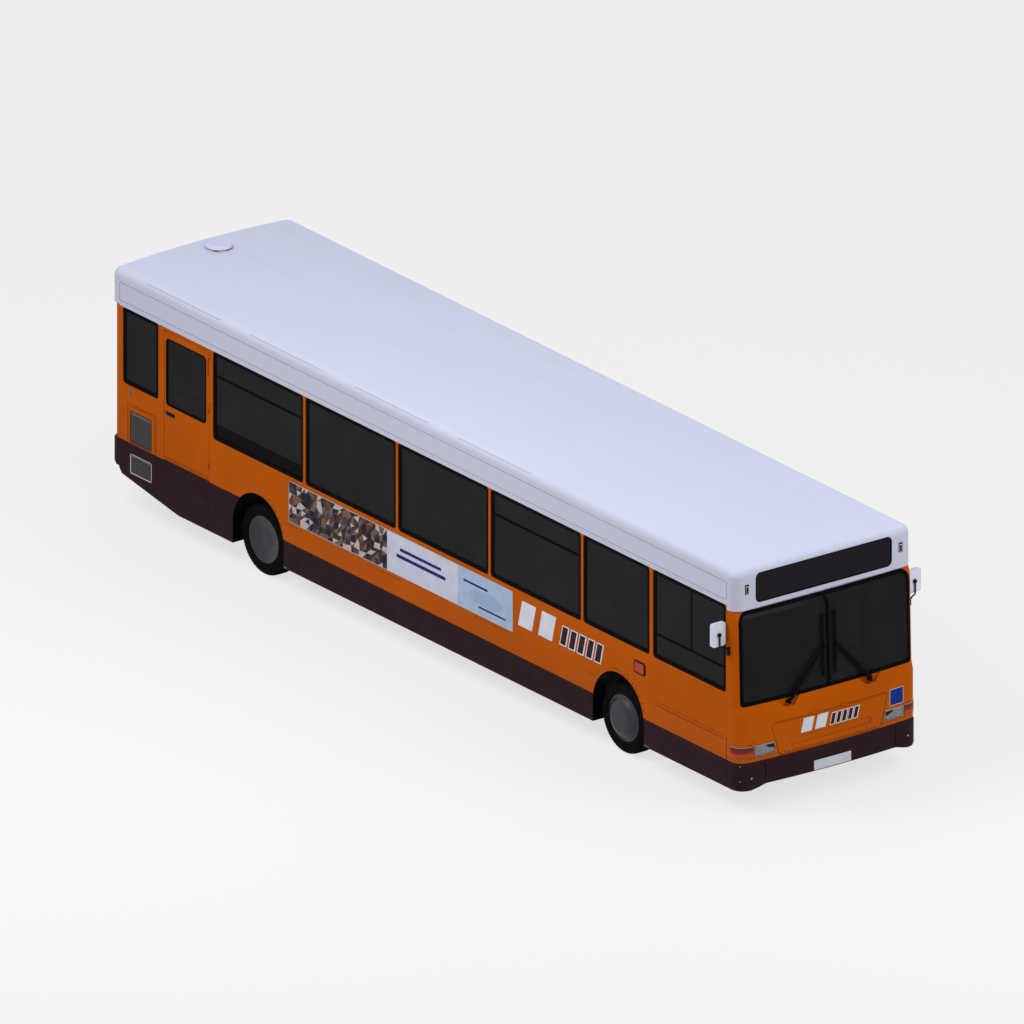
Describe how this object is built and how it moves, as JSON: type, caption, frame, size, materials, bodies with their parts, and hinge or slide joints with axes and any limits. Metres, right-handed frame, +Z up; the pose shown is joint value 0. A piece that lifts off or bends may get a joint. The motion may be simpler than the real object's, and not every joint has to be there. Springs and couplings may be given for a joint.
{
  "type": "single-deck city bus",
  "caption": "Orange and white single-deck city bus with brown skirts, dark side windows, a wide front display, rear engine and rolling steerable wheels.",
  "frame": {"origin": "on the ground under the middle of the bus's overall box", "axes": "+X forward along the bus, +Y to its left (kerb) side, +Z up"},
  "size_m": [11.4, 2.802, 2.842],
  "materials": {
    "body_orange": "gloss paint, orange",
    "skirt_brown": "gloss paint, dark brown",
    "roof_white": "white moulding",
    "black_rubber": "matt black rubber",
    "tinted_glass": "dark tinted glass",
    "clear_glass": "clear glass",
    "tyre_rubber": "ribbed tread",
    "wheel_steel": "light grey paint",
    "chassis_steel": "black chassis paint",
    "cast_metal": "rough cast",
    "floor_vinyl": "grey vinyl on boards",
    "seat_fabric": "patterned moquette",
    "dark_plastic": "textured black",
    "grey_metal": "grey grille",
    "pole_metal": "yellow powder coat",
    "clear_lens": "clear lamp lens",
    "amber_lens": "amber lens",
    "red_lens": "red and amber lenses",
    "display_glass": "black glass",
    "mirror_white": "white mirror shell"
  },
  "bodies": {
    "coach": {"air_springs": "black_rubber", "amber_lamps": "amber_lens", "cab_desk": "dark_plastic", "cab_partition": "dark_plastic", "cross_members": "chassis_steel", "destination_display": "display_glass", "engine": "cast_metal", "floor": "floor_vinyl", "front_axle": "cast_metal", "front_bumper": "skirt_brown", "front_dome": "roof_white", "front_panel": "body_orange", "grab_poles": "pole_metal", "headlamps": "clear_lens", "left_side_wall": "body_orange", "mirrors": "mirror_white", "radiator_grilles": "grey_metal", "rear_axle": "cast_metal", "rear_bumper": "skirt_brown", "rear_lamps": "red_lens", "rear_panel": "body_orange", "rear_window_glass": "tinted_glass", "rear_window_rubber": "black_rubber", "right_side_wall": "body_orange", "roof": "roof_white", "roof_vent": "roof_white", "seats": "seat_fabric", "side_window_glass": "tinted_glass", "side_window_rubbers": "black_rubber", "skirts": "skirt_brown", "steering_wheel": "dark_plastic", "underframe": "chassis_steel", "wheel_boxes": "floor_vinyl", "windscreen_glass": "clear_glass", "windscreen_rubber": "black_rubber", "wipers": "dark_plastic"},
    "knuckle_left": {"knuckle_left": "cast_metal"},
    "knuckle_right": {"knuckle_right": "cast_metal"},
    "wheel_front_left": {"front_tyre_left": "tyre_rubber", "front_rim_left": "wheel_steel"},
    "wheel_front_right": {"front_tyre_right": "tyre_rubber", "front_rim_right": "wheel_steel"},
    "wheels_rear_left": {"rear_tyres_left": "tyre_rubber", "rear_rims_left": "wheel_steel"},
    "wheels_rear_right": {"rear_tyres_right": "tyre_rubber", "rear_rims_right": "wheel_steel"},
    "entrance_rear_leaf": {"rear_entrance_leaf": "dark_plastic", "rear_entrance_leaf_glass": "clear_glass"},
    "entrance_front_leaf": {"front_entrance_leaf": "dark_plastic", "front_entrance_leaf_glass": "clear_glass"},
    "emergency_door": {"emergency_door": "body_orange", "emergency_door_glass": "tinted_glass"},
    "engine_cover": {"engine_cover": "body_orange"},
    "front_flap": {"front_flap": "body_orange"}
  },
  "joints": [
    {"name": "steer_right", "type": "hinge", "parent": "coach", "child": "knuckle_right", "pos_m": [3.46, -0.93, 0.4055], "axis": [0, 0, 1], "range_deg": [-40, 40]},
    {"name": "steer_left", "type": "hinge", "parent": "coach", "child": "knuckle_left", "pos_m": [3.46, 0.93, 0.4055], "axis": [0, 0, 1], "range_deg": [-40, 40]},
    {"name": "roll_front_left", "type": "hinge", "parent": "knuckle_left", "child": "wheel_front_left", "pos_m": [3.46, 1.0265, 0.4055], "axis": [0, 1, 0], "continuous": true},
    {"name": "roll_front_right", "type": "hinge", "parent": "knuckle_right", "child": "wheel_front_right", "pos_m": [3.46, -1.0265, 0.4055], "axis": [0, 1, 0], "continuous": true},
    {"name": "roll_rear_left", "type": "hinge", "parent": "coach", "child": "wheels_rear_left", "pos_m": [-3.005, 0.897, 0.4055], "axis": [0, 1, 0], "continuous": true},
    {"name": "roll_rear_right", "type": "hinge", "parent": "coach", "child": "wheels_rear_right", "pos_m": [-3.005, -0.897, 0.4055], "axis": [0, 1, 0], "continuous": true},
    {"name": "entrance_rear_hinge", "type": "hinge", "parent": "coach", "child": "entrance_rear_leaf", "pos_m": [4.14, 1.152, 1.35], "axis": [0, 0, -1], "range_deg": [0, 88]},
    {"name": "entrance_front_hinge", "type": "hinge", "parent": "coach", "child": "entrance_front_leaf", "pos_m": [5.32, 1.152, 1.35], "axis": [0, 0, 1], "range_deg": [0, 88]},
    {"name": "emergency_door_hinge", "type": "hinge", "parent": "coach", "child": "emergency_door", "pos_m": [-3.89, -1.21, 1.56], "axis": [0, 0, 1], "range_deg": [0, 90]},
    {"name": "engine_cover_hinge", "type": "hinge", "parent": "coach", "child": "engine_cover", "pos_m": [-5.665, 0, 1.404], "axis": [0, 1, 0], "range_deg": [0, 80]},
    {"name": "front_flap_hinge", "type": "hinge", "parent": "coach", "child": "front_flap", "pos_m": [5.685, 0, 0.956], "axis": [0, -1, 0], "range_deg": [0, 80]}
  ],
  "couplings": [
    {"joint": "steer_left", "follows": "steer_right", "ratio": 1},
    {"joint": "entrance_front_hinge", "follows": "entrance_rear_hinge", "ratio": 1}
  ]
}
